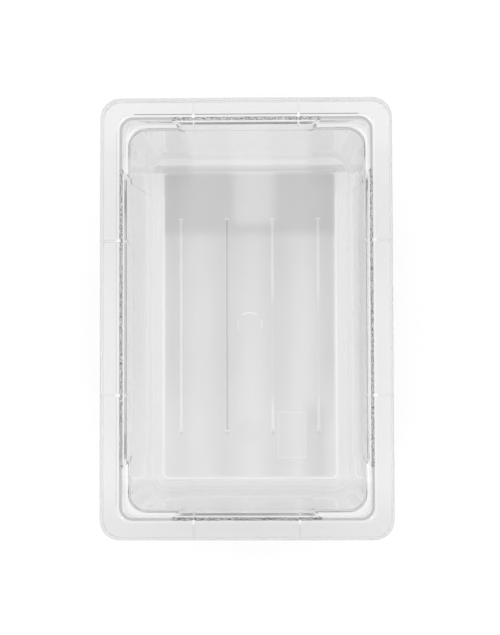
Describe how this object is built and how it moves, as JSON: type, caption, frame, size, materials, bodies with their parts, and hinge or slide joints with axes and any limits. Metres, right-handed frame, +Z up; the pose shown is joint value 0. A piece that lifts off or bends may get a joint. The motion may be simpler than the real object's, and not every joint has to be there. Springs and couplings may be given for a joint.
{
  "type": "food storage container",
  "caption": "Clear rectangular moulded food storage tub, open at the top, with a wide flanged rim, a skirt, stacking shoulders in the corners and lengthwise ribs under the floor.",
  "frame": {"origin": "middle of the surface that the tub stands on, under the middle of its rim", "axes": "+X across the tub, +Y along it, +Z up out of its mouth"},
  "size_m": [0.3028, 0.4572, 0.1524],
  "materials": {
    "clear_plastic": "clear, glossy"
  },
  "bodies": {
    "root": {"tub": "clear_plastic"}
  },
  "joints": []
}
